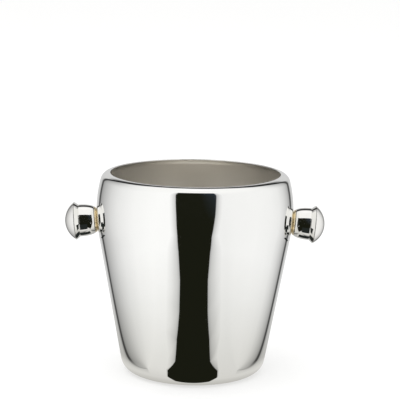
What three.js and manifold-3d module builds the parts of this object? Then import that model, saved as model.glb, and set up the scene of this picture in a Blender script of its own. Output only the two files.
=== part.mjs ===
// Champagne bucket: a spun steel pail with a turned-in rim and two turned knobs bolted through its shoulder.
// Millimetres, +Z up, origin at the centre of the base, the two knobs along X.
import * as THREE from "three";
import { mergeVertices } from "three/addons/utils/BufferGeometryUtils.js";
import Module from "manifold-3d";

const wasm = await Module();
wasm.setup();

const { degToRad } = THREE.MathUtils;

// Pail: driving dimensions, all on its outer surface.
const bodyRadius = 95; // widest ring, at the shoulder
const bodyHeight = 195; // base to the crest of the rim
const sheetThickness = 1;
const wallTaper = degToRad(10.35); // lean of the straight wall from the vertical
const shoulderArcRadius = 119; // long arc that turns the wall back in towards the rim
const shoulderEnd = degToRad(14.7); // slope of the surface's normal where the rim's bend begins
const rimBendRadius = 8.6;
const rimBendEnd = degToRad(96); // a little past the crest, where the sheet is trimmed
const baseCornerRadius = 14.5;
const baseRecessDepth = 1.2; // the middle of the base is pushed up so that only a ring stands
const baseRecessMargin = 7; // width of the standing ring
const baseRecessRamp = 4;

// Knobs: distances are along the knob's axis, out from the pail's surface.
const knobDroop = degToRad(5.1); // the axis points this far below the horizontal
const neckRadius = 10.3;
const barrelRadius = 15.5;
const flareLength = 16; // the back of the knob swells from the neck to the barrel over this length
const collarLength = 1.6; // brass part of the neck
const barrelEnd = 17.1;
const rimEdgeRadius = 18.3; // sharp bead where the barrel meets the dome
const rimEdgeDistance = 20.9;
const knobLength = 31;
const knobSheet = 1.2;
const cupFloor = 1.5;
const spigotLength = 2; // the dome locates inside the barrel by this much

// Fixings inside the knob and inside the pail.
const studRadius = 3;
const coreBossRadius = 7.5;
const coreFlangeThickness = 2;
const coreLength = 16;
const coreBlindEnd = 3; // metal left beyond the core's blind hole
const sealRadius = 8.6;
const sealThickness = 0.7;
const washerOverhang = 0.9; // the backing washer is wider than the seal by this much
const washerThickness = 1.2;
const lockWasherWidth = 2.2;
const lockWasherThickness = 1.5;
const lockWasherSlot = degToRad(16);
const nutAcrossFlats = 10;
const nutHexHeight = 5;
const nutDomeWall = 1.6;
const nutDomeHeight = 6;

// Clearances.
const seatGap = 0.3; // between pieces that bear on each other
const holeClearance = 0.3; // between the stud and every hole that it passes through
const flangeClearance = 1.5; // between the core's flange and the inside of the barrel
const studEndGap = 1;

// Fineness of the turned surfaces.
const pailSegments = 64;
const knobSegments = 32;
const fixingSegments = 20;
const cornerSteps = 5;
const bulgeSteps = 2; // from the wall up to the widest ring
const shoulderSteps = 3; // from the widest ring in to the rim's bend
const rimRiseSteps = 7; // up to the crest of the rim
const rimLipSteps = 1; // from the crest to the trimmed edge
const flareSteps = 5;
const domeSteps = 6;
const seatSteps = 3;

// Points that follow from the driving dimensions.
const holeRadius = studRadius + holeClearance;
const shoulderCentre = new THREE.Vector2(
  bodyRadius - shoulderArcRadius,
  bodyHeight - rimBendRadius - (shoulderArcRadius - rimBendRadius) * Math.sin(shoulderEnd),
);
const rimCentre = alongFrom(shoulderCentre, shoulderArcRadius - rimBendRadius, shoulderEnd);
const wallTop = alongFrom(shoulderCentre, shoulderArcRadius, -wallTaper);
const wallBottomHeight = baseCornerRadius * (1 - Math.sin(wallTaper));
const wallBottomRadius = wallTop.x - (wallTop.y - wallBottomHeight) * Math.tan(wallTaper);
const cornerCentre = new THREE.Vector2(
  wallBottomRadius - baseCornerRadius * Math.cos(wallTaper),
  baseCornerRadius,
);
const knobSeat = alongFrom(shoulderCentre, shoulderArcRadius, -knobDroop);

// The wall bends along its arc and round the pail. The flatter bend shapes what sits on the wall's
// outside and the tighter one what sits on its inside, so that neither can touch it.
const aroundRadius = knobSeat.x / Math.cos(knobDroop);
const outerSeatRadius = Math.max(shoulderArcRadius, aroundRadius);
const innerSeatRadius = Math.min(shoulderArcRadius, aroundRadius) - sheetThickness;

const polishedSteel = { color: 0xd9dadb, roughness: 0.08, metalness: 1 };
const knobSteel = { color: 0xe2dfd8, roughness: 0.1, metalness: 1 };
const plainSteel = { color: 0xb4b6b8, roughness: 0.3, metalness: 1 };
const brass = { color: 0xd2b27c, roughness: 0.22, metalness: 1 };
const rubber = { color: 0x2a2a2b, roughness: 0.8, metalness: 0 };

// The point at a distance from another, in a direction given as an angle.
function alongFrom(start, distance, angle) {
  return new THREE.Vector2(
    start.x + distance * Math.cos(angle),
    start.y + distance * Math.sin(angle),
  );
}

// Points along an arc, both ends included.
function arc(centre, radius, from, to, steps) {
  const points = [];
  for (let i = 0; i <= steps; i++) {
    points.push(alongFrom(centre, radius, from + ((to - from) * i) / steps));
  }
  return points;
}

// Points whose distance along the axis is a function of the radius, or the other way round.
function trace(from, to, steps, place) {
  const points = [];
  for (let i = 0; i <= steps; i++) {
    points.push(place(from + ((to - from) * i) / steps));
  }
  return points;
}

function point(radius, distance) {
  return new THREE.Vector2(radius, distance);
}

// A solid of revolution about Z. The outline is closed, or starts and ends on the axis.
function turned(outline, segments) {
  const touchesAxis = outline[0].x === 0;
  const loop = touchesAxis ? [...outline] : [...outline, outline[0].clone()];
  if (THREE.ShapeUtils.area(outline) < 0) {
    loop.reverse();
  }
  return new THREE.LatheGeometry(loop, segments).rotateX(Math.PI / 2);
}

function toSolid(geometry) {
  const bare = geometry.clone();
  bare.deleteAttribute("normal");
  bare.deleteAttribute("uv");
  const merged = mergeVertices(bare, 1e-4);
  return new wasm.Manifold(
    new wasm.Mesh({
      numProp: 3,
      vertProperties: merged.attributes.position.array,
      triVerts: new Uint32Array(merged.index.array),
    }),
  );
}

function toGeometry(solid) {
  const { vertProperties, triVerts } = solid.getMesh();
  const geometry = new THREE.BufferGeometry();
  geometry.setAttribute("position", new THREE.BufferAttribute(vertProperties, 3));
  geometry.setIndex(new THREE.BufferAttribute(triVerts, 1));
  geometry.computeVertexNormals();
  return geometry;
}

function named(name, geometry, look) {
  const mesh = new THREE.Mesh(geometry, new THREE.MeshStandardMaterial(look));
  mesh.name = name;
  return mesh;
}

// One skin of the pail, from the middle of the base to the trimmed edge of the rim. The arcs are
// split at the widest ring and at the crest, so that a vertex stands on each.
function pailSkin(depth) {
  const recessEdge = cornerCentre.x - baseRecessMargin;
  const shoulder = shoulderArcRadius - depth;
  const bend = rimBendRadius - depth;
  const crest = Math.PI / 2;
  return [
    point(0, baseRecessDepth + depth),
    point(recessEdge - baseRecessRamp, baseRecessDepth + depth),
    point(recessEdge, depth),
    ...arc(cornerCentre, baseCornerRadius - depth, -Math.PI / 2, -wallTaper, cornerSteps),
    ...arc(shoulderCentre, shoulder, -wallTaper, 0, bulgeSteps),
    ...arc(shoulderCentre, shoulder, 0, shoulderEnd, shoulderSteps).slice(1),
    ...arc(rimCentre, bend, shoulderEnd, crest, rimRiseSteps).slice(1),
    ...arc(rimCentre, bend, crest, rimBendEnd, rimLipSteps).slice(1),
  ];
}

// Puts a group's Z axis on the knob's axis, with its origin on the pail's surface.
function placeOnShoulder(object, side) {
  object.position.set(side * knobSeat.x, 0, knobSeat.y);
  object.rotation.y = side * (Math.PI / 2 + knobDroop);
}

function bucketShell() {
  const outline = [...pailSkin(0), ...pailSkin(sheetThickness).reverse()];
  let shell = toSolid(turned(outline, pailSegments));
  const drillLength = 6 * sheetThickness; // goes well past both faces of the wall
  for (const side of [-1, 1]) {
    const drill = new THREE.Mesh(
      new THREE.CylinderGeometry(holeRadius, holeRadius, drillLength, fixingSegments),
    );
    drill.geometry.rotateX(Math.PI / 2);
    placeOnShoulder(drill, side);
    drill.updateMatrix();
    shell = shell.subtract(toSolid(drill.geometry.applyMatrix4(drill.matrix)));
  }
  return toGeometry(shell);
}

// Height of the wall's outer surface, with the seating gap, at a radius from the knob's axis.
function outerSeat(radius) {
  return Math.sqrt(outerSeatRadius ** 2 - radius ** 2) - outerSeatRadius + seatGap;
}

// The same for the wall's inner surface.
function innerSeat(radius) {
  const sag = innerSeatRadius - Math.sqrt(innerSeatRadius ** 2 - radius ** 2);
  return -sheetThickness - sag - seatGap;
}

// Outline of the knob's back: a quarter ellipse from the neck to the barrel.
function flareRadius(distance) {
  const share = Math.min(distance / flareLength, 1);
  return neckRadius + (barrelRadius - neckRadius) * Math.sqrt(1 - (1 - share) ** 2);
}

function outerSeal() {
  const underside = trace(holeRadius, sealRadius, seatSteps, (r) => point(r, outerSeat(r)));
  const outline = [...underside, point(sealRadius, sealThickness), point(holeRadius, sealThickness)];
  return turned(outline, fixingSegments);
}

function neckCollar() {
  const recessRadius = sealRadius + seatGap;
  const recessTop = sealThickness + seatGap;
  const outline = [
    point(holeRadius, recessTop),
    point(recessRadius, recessTop),
    point(recessRadius, outerSeat(recessRadius)),
    point(neckRadius, outerSeat(neckRadius)),
    ...trace(0, 1, flareSteps, (share) => {
      const distance = collarLength * share ** 2;
      return point(flareRadius(distance), distance);
    }),
    point(holeRadius, collarLength),
  ];
  return turned(outline, knobSegments);
}

const cupStart = collarLength + seatGap;
const cupFloorTop = cupStart + cupFloor;
const cupInnerRadius = barrelRadius - knobSheet;

function knobBarrel() {
  const outline = [
    point(holeRadius, cupStart),
    ...trace(cupStart, flareLength, flareSteps, (s) => point(flareRadius(s), s)),
    point(barrelRadius, barrelEnd),
    point(rimEdgeRadius, rimEdgeDistance),
    point(cupInnerRadius, rimEdgeDistance),
    ...trace(flareLength, cupFloorTop, flareSteps, (s) => point(flareRadius(s) - knobSheet, s)),
    point(holeRadius, cupFloorTop),
  ];
  return turned(outline, knobSegments);
}

function knobDome() {
  const base = rimEdgeDistance + seatGap;
  const rise = knobLength - base;
  const sphereRadius = (rimEdgeRadius ** 2 + rise ** 2) / (2 * rise);
  const centre = point(0, knobLength - sphereRadius);
  const spigotRadius = cupInnerRadius - seatGap;
  const hollowRadius = sphereRadius - knobSheet;
  const edgeAngle = Math.asin((base - centre.y) / sphereRadius);
  const hollowAngle = Math.acos((spigotRadius - knobSheet) / hollowRadius);
  const outerArc = arc(centre, sphereRadius, edgeAngle, Math.PI / 2, domeSteps).reverse();
  const innerArc = arc(centre, hollowRadius, hollowAngle, Math.PI / 2, domeSteps);
  outerArc[0].x = 0;
  innerArc[domeSteps].x = 0;
  const outline = [
    ...outerArc,
    point(spigotRadius, base),
    point(spigotRadius, base - spigotLength - seatGap),
    point(spigotRadius - knobSheet, base - spigotLength - seatGap),
    ...innerArc,
  ];
  return turned(outline, knobSegments);
}

const coreStart = cupFloorTop + seatGap;
const coreEnd = coreStart + coreLength;

// Solid boss inside the hollow knob, with the blind thread that the stud screws into.
function knobCore() {
  const flangeRadius = flareRadius(cupFloorTop) - knobSheet - flangeClearance;
  const outline = [
    point(0, coreEnd),
    point(coreBossRadius, coreEnd),
    point(coreBossRadius, coreStart + coreFlangeThickness),
    point(flangeRadius, coreStart + coreFlangeThickness),
    point(flangeRadius, coreStart),
    point(holeRadius, coreStart),
    point(holeRadius, coreEnd - coreBlindEnd),
    point(0, coreEnd - coreBlindEnd),
  ];
  return turned(outline, fixingSegments);
}

// The pieces inside the pail stack up from the wall: seal, backing washer, lock washer, nut.
const innerSealFace = innerSeat(sealRadius) - sealThickness / 2;
const washerTop = innerSealFace - seatGap;
const lockWasherTop = washerTop - washerThickness - seatGap;
const nutTop = lockWasherTop - lockWasherThickness - seatGap;
const nutBlindEnd = nutTop - nutHexHeight - nutDomeHeight + nutDomeWall;

function innerSeal() {
  const face = trace(holeRadius, sealRadius, seatSteps, (r) => point(r, innerSeat(r)));
  const outline = [...face, point(sealRadius, innerSealFace), point(holeRadius, innerSealFace)];
  return turned(outline, fixingSegments);
}

function backingWasher() {
  const edge = sealRadius + washerOverhang;
  const outline = [
    point(holeRadius, washerTop),
    point(edge, washerTop),
    point(edge, washerTop - washerThickness),
    point(holeRadius, washerTop - washerThickness),
  ];
  return turned(outline, fixingSegments);
}

// A ring with one slot through it, as a spring washer is when it is tightened flat.
function lockWasher() {
  const outside = holeRadius + lockWasherWidth;
  const shape = new THREE.Shape();
  shape.absarc(0, 0, outside, lockWasherSlot / 2, 2 * Math.PI - lockWasherSlot / 2, false);
  shape.absarc(0, 0, holeRadius, 2 * Math.PI - lockWasherSlot / 2, lockWasherSlot / 2, true);
  const ring = new THREE.ExtrudeGeometry(shape, {
    depth: lockWasherThickness,
    bevelEnabled: false,
    curveSegments: fixingSegments / 2, // an arc gets twice as many
  });
  return ring.translate(0, 0, lockWasherTop - lockWasherThickness);
}

function acornNut() {
  const corner = nutAcrossFlats / 2 / Math.cos(Math.PI / 6);
  const hexBottom = nutTop - nutHexHeight;
  const prism = new THREE.CylinderGeometry(corner, corner, nutHexHeight, 6);
  prism.rotateX(Math.PI / 2);
  prism.translate(0, 0, nutTop - nutHexHeight / 2);
  const collarRadius = nutAcrossFlats / 2 - seatGap;
  const domeCurve = trace(0, Math.PI / 2, domeSteps, (angle) =>
    point(collarRadius * Math.cos(angle), hexBottom - nutDomeHeight * Math.sin(angle)),
  );
  domeCurve[domeSteps].x = 0;
  const dome = turned([point(0, nutTop), point(collarRadius, nutTop), ...domeCurve], fixingSegments);
  const bore = turned(
    [
      point(0, nutTop + seatGap),
      point(holeRadius, nutTop + seatGap),
      point(holeRadius, nutBlindEnd + holeRadius),
      point(0, nutBlindEnd),
    ],
    fixingSegments,
  );
  return toGeometry(toSolid(prism).add(toSolid(dome)).subtract(toSolid(bore)));
}

// A threaded rod, from the nut's blind end to the core's.
function stud() {
  const innerEnd = nutBlindEnd + holeRadius + holeClearance;
  const outerEnd = coreEnd - coreBlindEnd - studEndGap;
  const chamfer = studRadius / 5;
  const outline = [
    point(0, innerEnd),
    point(studRadius - chamfer, innerEnd),
    point(studRadius, innerEnd + chamfer),
    point(studRadius, outerEnd - chamfer),
    point(studRadius - chamfer, outerEnd),
    point(0, outerEnd),
  ];
  return turned(outline, fixingSegments);
}

function knobAssembly(sideName, side) {
  const group = new THREE.Group();
  group.add(
    named(`${sideName}_knob_dome`, knobDome(), knobSteel),
    named(`${sideName}_knob_barrel`, knobBarrel(), knobSteel),
    named(`${sideName}_knob_core`, knobCore(), plainSteel),
    named(`${sideName}_neck_collar`, neckCollar(), brass),
    named(`${sideName}_outer_seal`, outerSeal(), rubber),
    named(`${sideName}_stud`, stud(), plainSteel),
    named(`${sideName}_inner_seal`, innerSeal(), rubber),
    named(`${sideName}_backing_washer`, backingWasher(), plainSteel),
    named(`${sideName}_lock_washer`, lockWasher(), plainSteel),
    named(`${sideName}_acorn_nut`, acornNut(), plainSteel),
  );
  placeOnShoulder(group, side);
  return group;
}

const bucket = new THREE.Group();
bucket.add(named("bucket_shell", bucketShell(), polishedSteel));
bucket.add(knobAssembly("left", -1));
bucket.add(knobAssembly("right", 1));

export default bucket;
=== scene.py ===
# Champagne bucket in a white studio: a spun, mirror polished pail with a turned-in rim and a hollow knob
# bolted to each side. Metres, +Z up; the knobs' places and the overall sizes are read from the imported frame.
import bpy
import bmesh
from math import acos, asin, atan, cos, pi, radians, sin, sqrt, tan
from mathutils import Matrix, Vector


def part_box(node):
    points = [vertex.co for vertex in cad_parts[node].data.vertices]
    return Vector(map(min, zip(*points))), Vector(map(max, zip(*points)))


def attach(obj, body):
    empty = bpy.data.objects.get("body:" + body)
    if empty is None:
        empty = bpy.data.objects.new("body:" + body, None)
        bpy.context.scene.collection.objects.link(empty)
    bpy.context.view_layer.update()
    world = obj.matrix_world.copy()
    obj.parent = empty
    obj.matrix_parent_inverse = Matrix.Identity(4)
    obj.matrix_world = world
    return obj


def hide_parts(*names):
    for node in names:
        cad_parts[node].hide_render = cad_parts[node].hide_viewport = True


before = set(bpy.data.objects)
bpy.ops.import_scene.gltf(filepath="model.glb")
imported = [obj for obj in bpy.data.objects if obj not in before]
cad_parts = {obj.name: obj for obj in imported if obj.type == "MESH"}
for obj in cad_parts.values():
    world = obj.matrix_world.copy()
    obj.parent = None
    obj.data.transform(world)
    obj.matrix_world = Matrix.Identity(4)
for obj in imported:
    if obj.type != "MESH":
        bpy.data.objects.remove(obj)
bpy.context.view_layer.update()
mm = 0.001
print("frame loaded:", len(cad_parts), "nodes")


# small tools for outlines: a point is (radius, height)

def arcPoints(centre, radius, start, end, steps):
    return [
        (centre[0] + radius * cos(start + (end - start) * i / steps),
         centre[1] + radius * sin(start + (end - start) * i / steps))
        for i in range(steps + 1)
    ]


def linePoints(start, end, steps):
    return [
        (start[0] + (end[0] - start[0]) * i / steps, start[1] + (end[1] - start[1]) * i / steps)
        for i in range(1, steps)
    ]


def roundedOutline(corners, steps=4):
    # corners are (radius, height, fillet); a fillet of 0 leaves the corner sharp
    outline = []
    count = len(corners)
    for i, (r, z, fillet) in enumerate(corners):
        here = Vector((r, z))
        if fillet <= 0:
            outline.append((r, z))
            continue
        before = Vector(corners[i - 1][:2]) - here
        after = Vector(corners[(i + 1) % count][:2]) - here
        angle = before.angle(after)
        reach = min(fillet / tan(angle / 2), 0.45 * before.length, 0.45 * after.length)
        bendRadius = reach * tan(angle / 2)
        halfway = (before.normalized() + after.normalized()).normalized()
        middle = here + halfway * bendRadius / sin(angle / 2)
        first = here + before.normalized() * reach - middle
        last = here + after.normalized() * reach - middle
        sweep = first.angle_signed(last)
        for k in range(steps + 1):
            turned = first.copy()
            turned.rotate(Matrix.Rotation(-sweep * k / steps, 2))
            outline.append(tuple(middle + turned))
    return outline


def turnedPiece(name, outline, segments, materials, bandSlot=None, squeeze=None):
    # Solid of revolution about Z. The outline closes on itself, or starts and ends on the axis.
    mesh = bpy.data.meshes.new(name)
    bm = bmesh.new()
    rings = []
    for r, z in outline:
        if r < 1e-7:
            rings.append([bm.verts.new((0, 0, z))])
            continue
        ring = []
        for k in range(segments):
            angle = 2 * pi * k / segments
            reach = squeeze(r, z, angle) if squeeze else r
            ring.append(bm.verts.new((reach * cos(angle), reach * sin(angle), z)))
        rings.append(ring)
    touchesAxis = len(rings[0]) == 1
    bands = len(rings) - 1 if touchesAxis else len(rings)
    for i in range(bands):
        low, high = rings[i], rings[(i + 1) % len(rings)]
        for k in range(segments):
            after = (k + 1) % segments
            if len(low) == 1:
                corners = (low[0], high[k], high[after])
            elif len(high) == 1:
                corners = (low[k], high[0], low[after])
            else:
                corners = (low[k], high[k], high[after], low[after])
            face = bm.faces.new(corners)
            face.smooth = True
            face.material_index = bandSlot(i) if bandSlot else 0
    bmesh.ops.recalc_face_normals(bm, faces=bm.faces)
    bm.to_mesh(mesh)
    bm.free()
    piece = bpy.data.objects.new(name, mesh)
    bpy.context.scene.collection.objects.link(piece)
    for material in materials:
        mesh.materials.append(material)
    return piece


def sectionedPiece(name, sections, material):
    # Solid through a row of sections with equally many points, closed at both ends.
    mesh = bpy.data.meshes.new(name)
    bm = bmesh.new()
    rings = [[bm.verts.new(place) for place in section] for section in sections]
    count = len(rings[0])
    for near, far in zip(rings, rings[1:]):
        for i in range(count):
            after = (i + 1) % count
            bm.faces.new((near[i], near[after], far[after], far[i])).smooth = True
    bm.faces.new(rings[0][::-1])
    bm.faces.new(rings[-1])
    bmesh.ops.recalc_face_normals(bm, faces=bm.faces)
    bm.to_mesh(mesh)
    bm.free()
    mesh.materials.append(material)
    piece = bpy.data.objects.new(name, mesh)
    bpy.context.scene.collection.objects.link(piece)
    return piece


def applyModifiers(piece):
    bpy.context.view_layer.update()
    evaluated = piece.evaluated_get(bpy.context.evaluated_depsgraph_get())
    mesh = bpy.data.meshes.new_from_object(evaluated)
    piece.modifiers.clear()
    piece.data = mesh


def evenNormals(piece):
    modifier = piece.modifiers.new("evenNormals", "WEIGHTED_NORMAL")
    modifier.keep_sharp = True
    modifier.weight = 80


# node helpers for the finishes

def newMaterial(name):
    material = bpy.data.materials.new(name)
    material.use_nodes = True
    tree = material.node_tree
    return material, tree.nodes, tree.links, tree.nodes["Principled BSDF"]


def addNode(nodes, kind, **settings):
    node = nodes.new(kind)
    for key, value in settings.items():
        if key in node.inputs:
            node.inputs[key].default_value = value
        else:
            setattr(node, key, value)
    return node


def colourRamp(nodes, stops):
    node = nodes.new("ShaderNodeValToRGB")
    ramp = node.color_ramp
    while len(ramp.elements) < len(stops):
        ramp.elements.new(0.5)
    for element, (place, colour) in zip(ramp.elements, stops):
        element.position = place
        element.color = (*colour, 1) if len(colour) == 3 else colour
    return node


def grey(value):
    return (value, value, value)


def feed(links, socket, value):
    # a socket takes another node's output or a fixed value
    if isinstance(value, bpy.types.NodeSocket):
        links.new(value, socket)
    else:
        socket.default_value = value


def mathNode(nodes, links, operation, *values):
    node = addNode(nodes, "ShaderNodeMath", operation=operation)
    for socket, value in zip(node.inputs, values):
        feed(links, socket, value)
    return node.outputs["Value"]


def mapRange(nodes, links, value, fromEnds=(0, 1), toEnds=(0, 1), kind="LINEAR"):
    node = addNode(nodes, "ShaderNodeMapRange", interpolation_type=kind)
    node.inputs["From Min"].default_value, node.inputs["From Max"].default_value = fromEnds
    node.inputs["To Min"].default_value, node.inputs["To Max"].default_value = toEnds
    links.new(value, node.inputs["Value"])
    return node.outputs["Result"]


def smoothStep(nodes, links, value, ends):
    return mapRange(nodes, links, value, ends, kind="SMOOTHSTEP")


def mixColour(nodes, links, factor, first, second, blend="MIX"):
    node = addNode(nodes, "ShaderNodeMix", data_type="RGBA", blend_type=blend)
    feed(links, node.inputs["Factor"], factor)
    feed(links, node.inputs["A"], first)
    feed(links, node.inputs["B"], second)
    return node.outputs["Result"]


# finishes

# tone is how much the colour varies, roughness is its least and most, lines are the strength and the
# fineness of the turning lines, and scratches is the roughness that a scratch adds
metalFinishes = {
    "mirrorSteel": {
        "colour": (0.905, 0.905, 0.888), "tone": 0.015, "roughness": (0.02, 0.05),
        "lines": (0.0008, 900), "dents": 0.012, "scratches": 0.02,
    },
    "innerSteel": {
        "colour": (0.96, 0.935, 0.885), "tone": 0.03, "roughness": (0.3, 0.4),
        "lines": (0.004, 700), "dents": 0.01, "scratches": 0.04,
    },
    "knobSteel": {
        "colour": (0.885, 0.875, 0.85), "tone": 0.02, "roughness": (0.035, 0.08),
        "lines": (0.001, 1400), "dents": 0.006, "scratches": 0.03,
    },
    "paleBrass": {
        "colour": (0.98, 0.84, 0.58), "tone": 0.12, "roughness": (0.2, 0.3),
        "lines": (0.003, 1600), "dents": 0.006, "scratches": 0.05,
    },
    "plainSteel": {
        "colour": (0.66, 0.665, 0.67), "tone": 0.05, "roughness": (0.2, 0.36),
        "lines": (0.008, 1500), "dents": 0.01, "scratches": 0.08,
    },
}


def turnedMetal(name):
    # Polished metal: faint turning lines round the piece's own Z axis, soft wipe marks that vary the
    # gloss, a slow unevenness of the sheet and a few fine scratches.
    finish = metalFinishes[name]
    material, nodes, links, shader = newMaterial(name)
    shader.inputs["Metallic"].default_value = 1
    place = addNode(nodes, "ShaderNodeTexCoord")
    wipe = addNode(nodes, "ShaderNodeTexNoise", Scale=22, Detail=5, Roughness=0.6)
    links.new(place.outputs["Object"], wipe.inputs["Vector"])
    colour = Vector(finish["colour"])
    tone = finish["tone"]
    tint = colourRamp(nodes, [(0.3, tuple(colour * (1 - tone))), (0.7, tuple(colour * (1 + tone / 3)))])
    links.new(wipe.outputs["Fac"], tint.inputs["Fac"])
    links.new(tint.outputs["Color"], shader.inputs["Base Color"])
    stretched = addNode(nodes, "ShaderNodeMapping", Scale=(1, 1, finish["lines"][1] / 12))
    links.new(place.outputs["Object"], stretched.inputs["Vector"])
    lines = addNode(nodes, "ShaderNodeTexNoise", Scale=12, Detail=3, Roughness=0.7)
    links.new(stretched.outputs["Vector"], lines.inputs["Vector"])
    crossed = addNode(nodes, "ShaderNodeMapping", Rotation=(0.7, 0.4, 0.9), Scale=(6, 260, 260))
    links.new(place.outputs["Object"], crossed.inputs["Vector"])
    scratches = addNode(nodes, "ShaderNodeTexNoise", Scale=3, Detail=2, Roughness=0.5)
    links.new(crossed.outputs["Vector"], scratches.inputs["Vector"])
    scratchMask = colourRamp(nodes, [(0.68, grey(0)), (0.74, grey(1))])
    links.new(scratches.outputs["Fac"], scratchMask.inputs["Fac"])
    gloss = mapRange(nodes, links, wipe.outputs["Fac"], (0.3, 0.7), finish["roughness"])
    worn = mathNode(nodes, links, "MULTIPLY_ADD", scratchMask.outputs["Color"], finish["scratches"], gloss)
    links.new(worn, shader.inputs["Roughness"])
    sheet = addNode(nodes, "ShaderNodeTexNoise", Scale=14, Detail=1)
    links.new(place.outputs["Object"], sheet.inputs["Vector"])
    slowBump = addNode(nodes, "ShaderNodeBump", Strength=finish["dents"], Distance=0.01)
    links.new(sheet.outputs["Fac"], slowBump.inputs["Height"])
    lineBump = addNode(nodes, "ShaderNodeBump", Strength=finish["lines"][0] * 25, Distance=0.0002)
    links.new(lines.outputs["Fac"], lineBump.inputs["Height"])
    links.new(slowBump.outputs["Normal"], lineBump.inputs["Normal"])
    links.new(lineBump.outputs["Normal"], shader.inputs["Normal"])
    return material


sealRubber = {
    "colour": (0.022, 0.022, 0.023),
    "dust": (0.05, 0.05, 0.048),
    "roughness": (0.6, 0.85),
    "grain": 4000,
    "clouds": 160,
}


def rubberFinish():
    material, nodes, links, shader = newMaterial("sealRubber")
    place = addNode(nodes, "ShaderNodeTexCoord")
    grain = addNode(nodes, "ShaderNodeTexNoise", Scale=sealRubber["grain"], Detail=3)
    cloud = addNode(nodes, "ShaderNodeTexNoise", Scale=sealRubber["clouds"], Detail=4)
    for noise in (grain, cloud):
        links.new(place.outputs["Object"], noise.inputs["Vector"])
    tint = colourRamp(nodes, [(0.35, sealRubber["colour"]), (0.75, sealRubber["dust"])])
    links.new(cloud.outputs["Fac"], tint.inputs["Fac"])
    links.new(tint.outputs["Color"], shader.inputs["Base Color"])
    gloss = mapRange(nodes, links, grain.outputs["Fac"], toEnds=sealRubber["roughness"])
    links.new(gloss, shader.inputs["Roughness"])
    bump = addNode(nodes, "ShaderNodeBump", Strength=0.25, Distance=0.0001)
    links.new(grain.outputs["Fac"], bump.inputs["Height"])
    links.new(bump.outputs["Normal"], shader.inputs["Normal"])
    return material


mirrorSteel = turnedMetal("mirrorSteel")
innerSteel = turnedMetal("innerSteel")
knobSteel = turnedMetal("knobSteel")
paleBrass = turnedMetal("paleBrass")
plainSteel = turnedMetal("plainSteel")
rubber = rubberFinish()
print("finishes made")


# the knobs' axes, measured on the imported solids

def nodePoints(node):
    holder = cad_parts[node]
    return [holder.matrix_world @ vertex.co for vertex in holder.data.vertices]


def middleOf(points):
    total = Vector((0, 0, 0))
    for place in points:
        total += place
    return total / len(points)


class KnobAxis:
    # the line through the middles of two turned pieces, and how far along it each piece reaches
    def __init__(self, side):
        self.side = side
        inner = middleOf(nodePoints(side + "_backing_washer"))
        outer = middleOf(nodePoints(side + "_knob_dome"))
        self.origin = inner
        self.direction = (outer - inner).normalized()

    def span(self, piece):
        along = [(p - self.origin).dot(self.direction) for p in nodePoints(f"{self.side}_{piece}")]
        return min(along), max(along)

    def reach(self, piece):
        return max(self.away(p) for p in nodePoints(f"{self.side}_{piece}"))

    def bore(self, piece):
        return min(self.away(p) for p in nodePoints(f"{self.side}_{piece}"))

    def away(self, place):
        offset = place - self.origin
        return (offset - self.direction * offset.dot(self.direction)).length

    def placement(self):
        up = Vector((0, 1, 0))
        across = up.cross(self.direction).normalized()
        turn = Matrix((across, up, self.direction)).transposed().to_4x4()
        return Matrix.Translation(self.origin) @ turn


# the pail

pail = {
    "wallTaper": radians(10.35),
    "shoulderArc": 119 * mm,
    "shoulderEnd": radians(14.7),  # slope where the rim's bend begins
    "rimBend": 8.6 * mm,
    "rimBendEnd": radians(96),
    "edgeRound": 0.4 * mm,  # on the trimmed edge of the sheet
    "baseCorner": 14.5 * mm,
    "sheet": 1 * mm,
    "recessDepth": 1.2 * mm,
    "recessMargin": 7 * mm,
    "recessRamp": 4 * mm,
    "recessBend": 5 * mm,
    "holeDepth": (-6 * mm, 14 * mm),  # how far the drill goes along a knob's axis, from the washer
    "segments": 256,
    "holeSegments": 32,
}


def pailSkin(depth, radius, height):
    # One skin of the pressing, from the middle of the base to the trimmed edge of the rim.
    taper, big, small = pail["wallTaper"], pail["shoulderArc"], pail["rimBend"]
    end, corner = pail["shoulderEnd"], pail["baseCorner"]
    shoulderCentre = (radius - big, height - small - (big - small) * sin(end))
    rimCentre = (
        shoulderCentre[0] + (big - small) * cos(end),
        shoulderCentre[1] + (big - small) * sin(end),
    )
    wallTop = (shoulderCentre[0] + big * cos(taper), shoulderCentre[1] - big * sin(taper))
    wallFoot = wallTop[0] - (wallTop[1] - corner * (1 - sin(taper))) * tan(taper)
    cornerCentre = (wallFoot - corner * cos(taper), corner)
    ringIn = cornerCentre[0] - pail["recessMargin"]
    rampIn = ringIn - pail["recessRamp"]
    slope = atan(pail["recessDepth"] / pail["recessRamp"])
    bend = pail["recessBend"]
    # the ramp of the pushed-up middle, rounded where it leaves each flat
    high = (rampIn - bend * tan(slope / 2), pail["recessDepth"] - bend)
    low = (ringIn + bend * tan(slope / 2), bend)
    ramp = arcPoints(high, bend + depth, pi / 2, pi / 2 - slope, 4)
    ramp += arcPoints(low, bend - depth, -pi / 2 - slope, -pi / 2, 4)
    cornerArc = arcPoints(cornerCentre, corner - depth, -pi / 2, -taper, 20)
    shoulder = arcPoints(shoulderCentre, big - depth, -taper, end, 36)
    wall = linePoints(cornerArc[-1], shoulder[0], 12)
    lipEnd = pail["rimBendEnd"] - asin(pail["edgeRound"] / (small - depth))
    lip = arcPoints(rimCentre, small - depth, end, lipEnd, 24)[1:]
    middle = (0, pail["recessDepth"] + depth)
    disc = linePoints(middle, ramp[0], 6)
    ring = linePoints(ramp[-1], cornerArc[0], 3)
    return [middle] + disc + ramp + ring + cornerArc + wall + shoulder + lip


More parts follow.
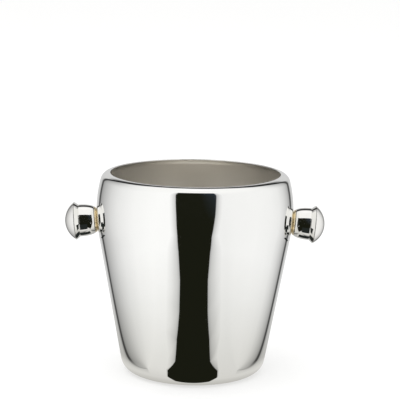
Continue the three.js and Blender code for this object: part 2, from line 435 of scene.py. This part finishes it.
def makePail():
    low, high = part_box("bucket_shell")
    radius = (high[1] - low[1]) / 2
    outside = pailSkin(0, radius, high[2])
    inside = pailSkin(pail["sheet"], radius, high[2])
    # the sheet's edge: its two corners are rounded, and a short flat is left between them
    outer, inner = Vector(outside[-1]), Vector(inside[-1])
    through = (inner - outer).normalized()
    ahead = Vector((through.y, -through.x)) * pail["edgeRound"]
    if ahead.x > 0:
        ahead = -ahead
    edge = []
    for corner, into, back in ((outer, through, False), (inner, -through, True)):
        bend = [
            corner + into * pail["edgeRound"] * (1 - cos(turn)) + ahead * sin(turn)
            for turn in (pi / 8, pi / 4, 3 * pi / 8, pi / 2)
        ]
        edge += bend[::-1] if back else bend
    outline = outside + [tuple(place) for place in edge] + inside[::-1]
    lastOuter = len(outside) + len(edge) - 1
    shell = turnedPiece(
        "spunPail", outline, pail["segments"], [mirrorSteel, innerSteel],
        bandSlot=lambda i: 0 if i < lastOuter else 1,
    )
    for side in ("left", "right"):
        axis = KnobAxis(side)
        start, end = pail["holeDepth"]
        hole = axis.bore("neck_collar")
        bit = [(0, start), (hole, start), (hole, end), (0, end)]
        drill = turnedPiece(side + "Drill", bit, pail["holeSegments"], [innerSteel])
        drill.matrix_world = axis.placement()
        cut = shell.modifiers.new(side + "Hole", "BOOLEAN")
        cut.operation = "DIFFERENCE"
        cut.solver = "EXACT"
        cut.object = drill
    applyModifiers(shell)
    for side in ("left", "right"):
        drill = bpy.data.objects[side + "Drill"]
        bpy.data.objects.remove(drill, do_unlink=True)
    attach(shell, "root")
    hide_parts("bucket_shell")
    return shell


makePail()
print("pail spun")


# the knobs and their fixings, built along the axis and placed on each side

knob = {
    "sheet": 1.2 * mm,
    "edgeRound": 0.35 * mm,  # on the sharp bead
    "beadLand": 0.12 * mm,  # width of the bead's outermost band
    "beadFace": 0.3 * mm,  # from the bead's edge in to its flat face
    "softRound": 0.25 * mm,  # on turned corners elsewhere
    "neckRadius": 10.3 * mm,
    "barrelRadius": 15.5 * mm,
    "collarLength": 1.6 * mm,
    "collarSeat": 0.35 * mm,  # the brass is squeezed this far down onto the curved wall
    "flareLength": 16 * mm,  # from the wall, over which the knob's back swells
    "barrelEnd": 17.1 * mm,
    "groove": (0.7 * mm, 0.4 * mm),  # width and depth of the turned line where the barrel meets the bead
    "spigot": 2 * mm,
    "floor": 1.5 * mm,  # thickness of the barrel's bottom
    "threadBore": 3.3 * mm,  # in the core and in the nut
    "gap": 0.3 * mm,  # clearance where one piece sits inside another
    "segments": 128,
}


def finishPiece(piece, axis, node):
    piece.matrix_world = axis.placement()
    evenNormals(piece)
    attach(piece, "root")
    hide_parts(f"{axis.side}_{node}")
    return piece


def flareCurve(axis):
    # radius of the knob's back at a place on the axis: a quarter ellipse from the neck to the barrel
    wall = axis.span("neck_collar")[1] - knob["collarLength"]
    barrelRadius = knob["barrelRadius"]
    neckRadius = knob["neckRadius"]

    def radiusAt(place):
        share = min(max((place - wall) / knob["flareLength"], 0), 1)
        return neckRadius + (barrelRadius - neckRadius) * sqrt(1 - (1 - share) ** 2)

    return wall, neckRadius, barrelRadius, radiusAt


def makeCollar(axis):
    wall, neckRadius, _, radiusAt = flareCurve(axis)
    low, high = axis.span("neck_collar")
    bore = axis.bore("neck_collar")
    recess = axis.reach("outer_seal") + knob["gap"]
    recessTop = axis.span("outer_seal")[1] + knob["gap"]
    steps = 24
    places = [wall + (high - wall) * (i / steps) ** 2 for i in range(steps)]
    flare = [(radiusAt(place), place) for place in places]
    outline = roundedOutline([
        (bore, high, knob["softRound"]), (bore, recessTop, 0), (recess, recessTop, 0),
        (recess, low, 0), (recess, low - knob["collarSeat"], 0),
        (neckRadius - 0.2 * mm, low - knob["collarSeat"], 0), (neckRadius, low, 0),
    ])
    outline += flare[1:] + [(radiusAt(high) - 0.15 * mm, high)]
    collar = turnedPiece(axis.side + "BrassCollar", outline, knob["segments"], [paleBrass])
    return finishPiece(collar, axis, "neck_collar")


def makeBarrel(axis):
    wall, _, barrelRadius, radiusAt = flareCurve(axis)
    low, high = axis.span("knob_barrel")
    bore = axis.bore("knob_barrel")
    edge = axis.reach("knob_barrel")
    sheet = knob["sheet"]
    floorTop = low + knob["floor"]
    flareEnd = wall + knob["flareLength"]
    steps = 28
    outward = [low + (flareEnd - low) * i / steps for i in range(1, steps + 1)]
    inward = [flareEnd - (flareEnd - floorTop) * i / steps for i in range(steps + 1)]
    back = [(radiusAt(place), place) for place in outward]
    hollow = [(radiusAt(place) - sheet, place) for place in inward]
    width, deep = knob["groove"]
    barrelEnd = wall + knob["barrelEnd"]
    bead = roundedOutline([
        (barrelRadius, barrelEnd - width, 0.1 * mm),
        (barrelRadius - deep, barrelEnd - width / 2, 0.1 * mm),
        (barrelRadius, barrelEnd, 0.3 * mm),
        (edge, high - knob["beadLand"], knob["edgeRound"] / 2),
        (edge - knob["beadFace"], high, 0.1 * mm),
        (barrelRadius - sheet, high, knob["softRound"]),
        (barrelRadius - sheet, flareEnd + 0.5 * mm, 0),
        (barrelRadius, flareEnd + 0.2 * mm, 0),
    ], 6)[:-2]
    outline = [(bore, low), (radiusAt(low) - 0.2 * mm, low)] + back + bead + hollow + [(bore, floorTop)]
    barrel = turnedPiece(axis.side + "KnobBarrel", outline, knob["segments"], [knobSteel])
    return finishPiece(barrel, axis, "knob_barrel")


def makeDome(axis):
    _, _, barrelRadius, _ = flareCurve(axis)
    low, high = axis.span("knob_dome")
    base = low + knob["spigot"] + knob["gap"]
    edge = axis.reach("knob_dome") - 0.05 * mm
    rise = high - base
    sphere = (edge ** 2 + rise ** 2) / (2 * rise)
    centre = (0, high - sphere)
    sheet = knob["sheet"]
    spigot = barrelRadius - sheet - knob["gap"]
    startAngle = asin((base - centre[1]) / sphere)
    hollowAngle = acos((spigot - sheet) / (sphere - sheet))
    cap = arcPoints(centre, sphere, pi / 2, startAngle + radians(1.2), 40)
    cap[0] = (0, high)
    hollow = arcPoints(centre, sphere - sheet, hollowAngle, pi / 2, 24)
    hollow[-1] = (0, high - sheet)
    lip = [
        (edge, base + 0.25 * mm), (edge - 0.08 * mm, base + 0.06 * mm), (edge - knob["beadFace"], base),
        (spigot, base), (spigot, low + 0.2 * mm), (spigot - 0.2 * mm, low), (spigot - sheet, low),
    ]
    dome = turnedPiece(axis.side + "KnobDome", cap + lip + hollow, knob["segments"], [knobSteel])
    return finishPiece(dome, axis, "knob_dome")


core = {
    "boss": 7.5 * mm,
    "flange": 2 * mm,
    "bossRound": 0.8 * mm,
    "footRound": 1 * mm,
    "cover": 3 * mm,  # left beyond the hole
    "point": 0.6 * mm,  # how far the hole's end rises towards its middle
    "segments": 64,
}


def makeCore(axis):
    # a flanged boss with a blind hole
    low, high = axis.span("knob_core")
    edge = axis.reach("knob_core")
    bore = knob["threadBore"]
    boss = core["boss"]
    flangeTop = low + core["flange"]
    holeEnd = high - core["cover"]
    pointEnd = holeEnd - core["point"]
    soft = knob["softRound"]
    outline = [(0, high)] + roundedOutline([
        (boss, high, core["bossRound"]), (boss, flangeTop, core["footRound"]), (edge, flangeTop, soft),
        (edge, low, soft), (bore, low, soft), (bore, holeEnd, 0), (0, pointEnd, 0), (0, high, 0),
    ])[:-1]
    piece = turnedPiece(axis.side + "KnobCore", outline, core["segments"], [plainSteel])
    return finishPiece(piece, axis, "knob_core")


def ringSection(axis, node, soft):
    low, high = axis.span(node)
    bore, edge = axis.bore(node), axis.reach(node)
    return roundedOutline([(bore, low, soft), (edge, low, soft), (edge, high, soft), (bore, high, soft)])


# sag is how far the face that bears on the wall falls away at the seal's edge
seal = {"sag": 0.33 * mm, "round": 0.3 * mm, "segments": 64}


def makeSeal(axis, node, name):
    low, high = axis.span(node)
    bore, edge = axis.bore(node), axis.reach(node)
    steps = 10
    sag, soft = seal["sag"], seal["round"]
    shares = [i / steps for i in range(steps + 1)]
    if node == "outer_seal":
        face = [(bore + (edge - bore) * share, low + sag * (1 - share ** 2)) for share in shares]
        corners = [(edge, high, soft), (bore, high, soft)]
    else:
        face = [(bore + (edge - bore) * share, high - sag * share ** 2) for share in shares]
        corners = [(edge, low, soft), (bore, low, soft)]
    flat = [(face[-1][0], face[-1][1], 0)] + corners + [(face[0][0], face[0][1], 0)]
    outline = face + roundedOutline(flat)[1:-1]
    piece = turnedPiece(axis.side + name, outline, seal["segments"], [rubber])
    return finishPiece(piece, axis, node)


backingWasher = {"round": 0.3 * mm, "segments": 96}


def makeWasher(axis):
    outline = ringSection(axis, "backing_washer", backingWasher["round"])
    washer = turnedPiece(axis.side + "BackingWasher", outline, backingWasher["segments"], [plainSteel])
    return finishPiece(washer, axis, "backing_washer")


lockWasher = {"slot": radians(16), "steps": 72, "round": 0.2 * mm, "spring": 0.1 * mm}


def makeLockWasher(axis):
    # a square-section ring, cut through once, its two ends sprung slightly apart
    section = ringSection(axis, "lock_washer", lockWasher["round"])
    low, high = axis.span("lock_washer")
    middle = (low + high) / 2
    shrink = 1 - lockWasher["spring"] / (high - low)
    sections = []
    for k in range(lockWasher["steps"] + 1):
        share = k / lockWasher["steps"]
        angle = lockWasher["slot"] / 2 + (2 * pi - lockWasher["slot"]) * share
        lift = (share - 0.5) * lockWasher["spring"]
        sections.append([
            (r * cos(angle), r * sin(angle), middle + (z - middle) * shrink + lift) for r, z in section
        ])
    washer = sectionedPiece(axis.side + "LockWasher", sections, plainSteel)
    return finishPiece(washer, axis, "lock_washer")


nut = {
    "acrossFlats": 10 * mm,
    "hexHeight": 5 * mm,
    "domeWall": 1.6 * mm,
    "domeHeight": 6 * mm,
    "chamfer": 0.55 * mm,
    "segments": 96,
}


def makeNut(axis):
    # The hexagon is a turned outline whose radius is held to the flats; the crown is turned.
    low, high = axis.span("acorn_nut")
    bore = knob["threadBore"]
    half = nut["acrossFlats"] / 2
    corner = half / cos(pi / 6)
    hexLow = high - nut["hexHeight"]
    crown = half - 0.3 * mm

    def heldToFlats(r, z, angle):
        if z < hexLow - 1e-6:
            return r
        fold = (angle + pi / 6) % (pi / 3) - pi / 6
        return min(r, half / cos(fold)) if r > crown else r

    crownCurve = [(crown * cos(a), hexLow - nut["domeHeight"] * sin(a))
                  for a in [pi / 2 * i / 18 for i in range(18, -1, -1)]]
    crownCurve[0] = (0, low)
    blindEnd = low + nut["domeWall"]
    outline = crownCurve + [
        (half, hexLow), (corner - 0.15 * mm, hexLow + 0.3 * mm), (corner, hexLow + nut["chamfer"]),
        (corner, high - nut["chamfer"]), (corner - 0.15 * mm, high - 0.3 * mm), (half - 0.1 * mm, high),
        (bore + 0.4 * mm, high), (bore, high - 0.4 * mm), (bore, blindEnd + bore), (0, blindEnd),
    ]
    piece = turnedPiece(axis.side + "AcornNut", outline, nut["segments"], [plainSteel], squeeze=heldToFlats)
    return finishPiece(piece, axis, "acorn_nut")


stud = {"pitch": 1 * mm, "depth": 0.5 * mm, "perTurn": 24, "perPitch": 8, "chamfer": 0.6 * mm}


def makeStud(axis):
    # a rolled helical thread, fading out at both ends
    low, high = axis.span("stud")
    radius = axis.reach("stud") - 0.01 * mm
    layers = int((high - low) / stud["pitch"] * stud["perPitch"])
    sections = []
    for i in range(layers + 1):
        z = low + (high - low) * i / layers
        fromEnd = min(z - low, high - z)
        taper = min(fromEnd / stud["chamfer"], 1)
        section = []
        for k in range(stud["perTurn"]):
            phase = (z / stud["pitch"] - k / stud["perTurn"]) % 1
            groove = stud["depth"] * (1 - abs(2 * phase - 1)) * taper
            r = min(radius - groove, radius - stud["chamfer"] * (1 - taper))
            angle = 2 * pi * k / stud["perTurn"]
            section.append((r * cos(angle), r * sin(angle), z))
        sections.append(section)
    rod = sectionedPiece(axis.side + "Stud", sections, plainSteel)
    return finishPiece(rod, axis, "stud")


for side in ("left", "right"):
    axis = KnobAxis(side)
    makeCollar(axis)
    makeBarrel(axis)
    makeDome(axis)
    makeCore(axis)
    makeSeal(axis, "outer_seal", "OuterSeal")
    makeSeal(axis, "inner_seal", "InnerSeal")
    makeWasher(axis)
    makeLockWasher(axis)
    makeNut(axis)
    makeStud(axis)
    print(side, "knob assembled")


# studio

studio = {
    "floorSize": 30.0,
    "floorColour": (0.42, 0.42, 0.417),
    "floorGlow": 0.55,  # the table is lit from below as well, which keeps the shadow faint
    "worldStrength": 1.0,
    "keyPower": 45,
    "keySize": 3,
    "keyPlace": (-0.4, -0.3, 2.8),
    "keyAim": (0, 0, 0.1),
    "footZone": (0.078, 0.097),  # round the bucket's foot the tones fade into a plain one
    "footTone": 0.97,
    "spreadFrom": (0.066, -0.06),  # beside and in front of the bucket: the floor's tones fan out from here
    "cardReach": 0.32,  # distance from the bucket's axis over which the painted shade at the foot runs
    "cardDrop": 0.2 * mm,  # below the floor
    "barEnds": (radians(33), radians(39)),  # the dark bar fades out here, by angle from straight behind
    # sines of the angle above the horizontal: where the sides give way to what is over them, where they
    # turn white, and where the posts fade out
    "horizon": (0.05, 0.3),
    "overhead": (0.5, 0.93),
    "postTop": (0.66, 0.76),
    "white": (1.05, 1.05, 1.04),  # of the sides, high up
}

# Painted shade in the floor that the steel reflects: it darkens towards the bucket's foot, by the share of
# cardReach.
paintedFootShade = [
    (0.0, (0.3, 0.29, 0.27)), (0.18, (0.5, 0.49, 0.46)), (0.23, (0.74, 0.73, 0.7)),
    (0.36, (0.775, 0.77, 0.745)), (0.7, (0.92, 0.92, 0.91)), (1.0, (1, 1, 1)),
]

# Brightness of the studio's left half as the polished steel sees it, by the angle from straight behind
# the bucket round to the camera side, in degrees, adjusted from one render to the next.
studioTones = [
    (0, 0.66), (23, 0.66), (28, 0.45), (30, 0.08), (34, 0.08), (37, 0.36), (43, 0.47),
    (53, 0.6), (65, 0.75), (80, 0.89), (105, 1.02), (135, 1.08), (180, 1.06),
]

# The same for the right half, where the tones are flatter.
rightTones = [
    (0, 0.66), (23, 0.66), (28, 0.45), (30, 0.08), (34, 0.08), (37, 0.42), (43, 0.58),
    (53, 0.76), (65, 0.92), (80, 0.98), (105, 1.01), (135, 1.0), (150, 0.97), (180, 0.98),
]

# The same over the top, from straight behind the bucket up and round to the camera side, in degrees.
skyTones = [(0, 0.7), (22, 0.68), (31, 0.1), (36, 0.04), (53, 0.04), (59, 1.0), (72, 1.12), (180, 1.12)]

# Two dark posts are painted into what the steel reflects, behind the bucket, under the ends of the dark bar
# that skyTones describes.
paintedPostTones = [(0, 1), (26, 1), (29, 0.1), (35, 0.1), (38, 1), (180, 1)]


def glossyOnly(thing):
    thing.visible_camera = False
    thing.visible_diffuse = False
    thing.visible_shadow = False
    thing.visible_transmission = False
    thing.visible_volume_scatter = False


def stageMesh(name, points, faces, material):
    mesh = bpy.data.meshes.new(name)
    mesh.from_pydata(points, [], faces)
    mesh.materials.append(material)
    thing = bpy.data.objects.new(name, mesh)
    bpy.context.scene.collection.objects.link(thing)
    return thing


def sheetMesh(name, height, material):
    half = studio["floorSize"] / 2
    corners = [(-half, -half, height), (half, -half, height), (half, half, height), (-half, half, height)]
    return stageMesh(name, corners, [(0, 1, 2, 3)], material)


def glowing(nodes, links, colour):
    # a surface that only glows, in place of the usual shader
    nodes.remove(nodes["Principled BSDF"])
    glow = addNode(nodes, "ShaderNodeEmission")
    feed(links, glow.inputs["Color"], colour)
    return glow.outputs["Emission"]


def makeFloor():
    material, nodes, links, shader = newMaterial("studioFloor")
    shader.inputs["Base Color"].default_value = (*studio["floorColour"], 1)
    shader.inputs["Roughness"].default_value = 0.9
    shader.inputs["Specular IOR Level"].default_value = 0.1
    shader.inputs["Emission Color"].default_value = (1, 1, 0.995, 1)
    shader.inputs["Emission Strength"].default_value = studio["floorGlow"]
    floor = sheetMesh("studioFloor", 0, material)
    floor.visible_glossy = False
    return floor


def tonesByAngle(nodes, links, angle, tones):
    ramp = colourRamp(nodes, [(degrees / 180, grey(tone)) for degrees, tone in tones])
    links.new(mathNode(nodes, links, "DIVIDE", angle, pi), ramp.inputs["Fac"])
    return ramp.outputs["Color"]


def tonesBySide(nodes, links, angle, sideways):
    # the left or the right list of tones, by the sign of the sideways coordinate
    left = tonesByAngle(nodes, links, angle, studioTones)
    right = tonesByAngle(nodes, links, angle, rightTones)
    onRight = mathNode(nodes, links, "GREATER_THAN", sideways, 0)
    return mixColour(nodes, links, onRight, left, right)


def makePaintedFloorReflection():
    # A painted reflection: a glowing card that only the steel sees stands for the floor, with the studio's
    # tones spread from the bucket's sides and painted shade towards its foot.
    material, nodes, links, _ = newMaterial("paintedFloorReflection")
    place = addNode(nodes, "ShaderNodeTexCoord")
    parts = addNode(nodes, "ShaderNodeSeparateXYZ")
    links.new(place.outputs["Object"], parts.inputs["Vector"])
    x, y = parts.outputs["X"], parts.outputs["Y"]
    beside, behind = studio["spreadFrom"]
    outward = mathNode(nodes, links, "SUBTRACT", mathNode(nodes, links, "ABSOLUTE", x), beside)
    outward = mathNode(nodes, links, "MAXIMUM", outward, 0)
    backward = mathNode(nodes, links, "SUBTRACT", y, behind)
    angle = mathNode(nodes, links, "ARCTAN2", outward, backward)
    tones = tonesBySide(nodes, links, angle, x)
    flat = addNode(nodes, "ShaderNodeCombineXYZ")
    links.new(x, flat.inputs["X"])
    links.new(y, flat.inputs["Y"])
    length = addNode(nodes, "ShaderNodeVectorMath", operation="LENGTH")
    links.new(flat.outputs["Vector"], length.inputs[0])
    away = length.outputs["Value"]
    # painted shade: the reflected floor is darker towards the bucket's foot
    near = colourRamp(nodes, paintedFootShade)
    links.new(mathNode(nodes, links, "DIVIDE", away, studio["cardReach"]), near.inputs["Fac"])
    foot = smoothStep(nodes, links, away, studio["footZone"])
    spread = mixColour(nodes, links, foot, (*grey(studio["footTone"]), 1), tones)
    both = mixColour(nodes, links, 1, spread, near.outputs["Color"], "MULTIPLY")
    links.new(glowing(nodes, links, both), nodes["Material Output"].inputs["Surface"])
    card = sheetMesh("paintedFloorReflection", -studio["cardDrop"], material)
    glossyOnly(card)
    return card


darkStripReflection = {
    # the painted dark reflection in front of the bucket, a glowing card that only the steel sees: distance
    # from the pail's axis, half width of the black, half width of the grey fringe round it; the widths were
    # worked back from the strip that the steel shows, narrow at mid height and flared at the foot, then
    # rounded and adjusted
    "onFloor": [(0.066, 0.017, 0.019), (0.072, 0.03, 0.032), (0.084, 0.0395, 0.043), (0.104, 0.0345, 0.052),
                (0.138, 0.045, 0.085), (0.190, 0.053, 0.115), (0.243, 0.0655, 0.14), (0.310, 0.094, 0.17),
                (0.531, 0.174, 0.25)],
    # the same by height, where the painted card stands up at its far end
    "standing": [(0.182, 0.196, 0.275), (0.345, 0.218, 0.3), (0.8, 0.24, 0.32)],
    "lean": 0.01,  # how far the standing part is off centre
    "lift": 0.1 * mm,  # of the lying part over the floor
    "colour": (0.0105, 0.0113, 0.0064),
    "cool": (0.026, 0.034, 0.042),
    "fringe": [(0, 0), (0.4, 0.13), (0.8, 0.32), (0.97, 0.5), (1, 1)],
}


def makeDarkStripReflection():
    # A painted dark reflection: a glowing black strip that only the steel sees, lying on the floor and
    # standing up at its far end, with a soft grey fringe.
    material, nodes, links, _ = newMaterial("blackFlag")
    place = addNode(nodes, "ShaderNodeTexCoord")
    parts = addNode(nodes, "ShaderNodeSeparateXYZ")
    links.new(place.outputs["Object"], parts.inputs["Vector"])
    # painted reflection: the black turns cooler towards the upper right
    corner = mathNode(nodes, links, "MULTIPLY", parts.outputs["X"], parts.outputs["Z"])
    ramp = colourRamp(nodes, [(0.02, darkStripReflection["colour"]), (0.1, darkStripReflection["cool"])])
    links.new(corner, ramp.inputs["Fac"])
    glow = glowing(nodes, links, ramp.outputs["Color"])
    cover = addNode(nodes, "ShaderNodeAttribute", attribute_name="cover")
    edge = colourRamp(nodes, [(share, grey(dark)) for share, dark in darkStripReflection["fringe"]])
    links.new(cover.outputs["Fac"], edge.inputs["Fac"])
    clear = addNode(nodes, "ShaderNodeBsdfTransparent")
    blend = addNode(nodes, "ShaderNodeMixShader")
    links.new(edge.outputs["Color"], blend.inputs["Fac"])
    links.new(clear.outputs["BSDF"], blend.inputs[1])
    links.new(glow, blend.inputs[2])
    links.new(blend.outputs["Shader"], nodes["Material Output"].inputs["Surface"])
    far = darkStripReflection["onFloor"][-1][0]
    lean = darkStripReflection["lean"]
    rows = [(half, fringe, 0, -away, darkStripReflection["lift"]) for away, half, fringe in darkStripReflection["onFloor"]]
    rows += [(half, fringe, lean, -far, height) for height, half, fringe in darkStripReflection["standing"]]
    points = [
        (middle + across, y, z)
        for half, fringe, middle, y, z in rows for across in (-fringe, -half, half, fringe)
    ]
    starts = [4 * i + k for i in range(len(rows) - 1) for k in range(3)]
    faces = [(start, start + 1, start + 5, start + 4) for start in starts]
    stripCard = stageMesh("blackFlag", points, faces, material)
    covers = stripCard.data.attributes.new("cover", "FLOAT", "POINT")
    for i, item in enumerate(covers.data):
        item.value = 1 if i % 4 in (1, 2) else 0
    glossyOnly(stripCard)
    return stripCard


knobFlag = {
    # narrow glowing black cards held close to each knob, seen only by the steel, that paint dark reflections
    # onto the knob:
    # (distance behind the axis, height over it) of their two edges, and where they start and end along the
    # knob, from the wall
    "front": [(-18.2 * mm, -2.4 * mm), (-15.5 * mm, -9.4 * mm), 8 * mm, 16.4 * mm],
    "under": [(-12.2 * mm, -18.5 * mm), (-4.7 * mm, -18.5 * mm), 5 * mm, 19 * mm],
    "colour": (0.02, 0.024, 0.022),
}


def makeKnobDarkReflection(axis, part):
    # A painted dark reflection: a glowing black card close to the knob that only the steel sees.
    material, nodes, links, _ = newMaterial("knobFlag")
    glow = glowing(nodes, links, (*knobFlag["colour"], 1))
    links.new(glow, nodes["Material Output"].inputs["Surface"])
    near, far, start, end = knobFlag[part]
    wall = flareCurve(axis)[0]
    down = 1 if axis.side == "right" else -1
    points = [
        (-down * height, behind, wall + along)
        for along in (start, end) for behind, height in (near, far)
    ]
    card = stageMesh(axis.side + part.capitalize() + "Flag", points, [(0, 1, 3, 2)], material)
    card.matrix_world = axis.placement()
    glossyOnly(card)
    return card


def makeWorld():
    # White for the camera and for soft light; the polished steel sees the studio's tones instead.
    world = bpy.data.worlds.new("whiteStudio")
    bpy.context.scene.world = world
    world.use_nodes = True
    nodes, links = world.node_tree.nodes, world.node_tree.links
    plain = nodes["Background"]
    plain.inputs["Color"].default_value = (1, 1, 1, 1)
    plain.inputs["Strength"].default_value = studio["worldStrength"]
    place = addNode(nodes, "ShaderNodeTexCoord")
    parts = addNode(nodes, "ShaderNodeSeparateXYZ")
    links.new(place.outputs["Generated"], parts.inputs["Vector"])
    x, y, z = (parts.outputs[letter] for letter in "XYZ")
    angle = mathNode(nodes, links, "ARCTAN2", mathNode(nodes, links, "ABSOLUTE", x), y)
    tones = tonesBySide(nodes, links, angle, x)
    arch = tonesByAngle(nodes, links, mathNode(nodes, links, "ARCTAN2", z, y), skyTones)
    upper = smoothStep(nodes, links, z, studio["overhead"])
    flank = mixColour(nodes, links, upper, tones, (*studio["white"], 1))
    beside = smoothStep(nodes, links, angle, studio["barEnds"])
    above = mixColour(nodes, links, beside, arch, flank)
    # painted reflection: the two dark posts, which only the steel sees
    topped = smoothStep(nodes, links, z, studio["postTop"])
    posts = mixColour(nodes, links, topped, tonesByAngle(nodes, links, angle, paintedPostTones), (1, 1, 1, 1))
    framed = mixColour(nodes, links, 1, above, posts, "MULTIPLY")
    rise = smoothStep(nodes, links, z, studio["horizon"])
    sky = mixColour(nodes, links, rise, tones, framed)
    seen = addNode(nodes, "ShaderNodeBackground")
    links.new(sky, seen.inputs["Color"])
    rays = addNode(nodes, "ShaderNodeLightPath")
    choose = addNode(nodes, "ShaderNodeMixShader")
    links.new(rays.outputs["Is Glossy Ray"], choose.inputs["Fac"])
    links.new(plain.outputs["Background"], choose.inputs[1])
    links.new(seen.outputs["Background"], choose.inputs[2])
    links.new(choose.outputs["Shader"], nodes["World Output"].inputs["Surface"])


def makeKeyLight():
    light = bpy.data.lights.new("softKey", "AREA")
    light.energy = studio["keyPower"]
    light.size = studio["keySize"]
    holder = bpy.data.objects.new("softKey", light)
    holder.location = studio["keyPlace"]
    aim = Vector(studio["keyAim"]) - holder.location
    holder.rotation_euler = aim.to_track_quat("-Z", "Y").to_euler()
    holder.visible_glossy = False
    bpy.context.scene.collection.objects.link(holder)


camera = {
    "distance": 1.623,
    "lookHeight": 0.095,
    "elevation": radians(12.918),
    "pitch": radians(10.373),
    "yaw": radians(-0.169),
    "roll": radians(0.928),
    "lens": 150,
    "sensor": 36,
    "farEnd": 100,
}


def makeCamera():
    lens = bpy.data.cameras.new("studioCamera")
    lens.lens = camera["lens"]
    lens.sensor_width = camera["sensor"]
    lens.clip_end = camera["farEnd"]
    holder = bpy.data.objects.new("studioCamera", lens)
    reach = camera["distance"]
    holder.location = (
        0, -reach * cos(camera["elevation"]), camera["lookHeight"] + reach * sin(camera["elevation"]))
    turn = Matrix.Rotation(camera["yaw"], 4, "Z") @ Matrix.Rotation(pi / 2 - camera["pitch"], 4, "X")
    holder.rotation_euler = (turn @ Matrix.Rotation(camera["roll"], 4, "Z")).to_euler()
    bpy.context.scene.collection.objects.link(holder)
    bpy.context.scene.camera = holder


makeFloor()
makePaintedFloorReflection()
makeDarkStripReflection()
for side in ("left", "right"):
    for part in ("front", "under"):
        makeKnobDarkReflection(KnobAxis(side), part)
makeWorld()
makeKeyLight()
makeCamera()
bpy.context.scene.view_settings.view_transform = "Standard"
print("studio lit")
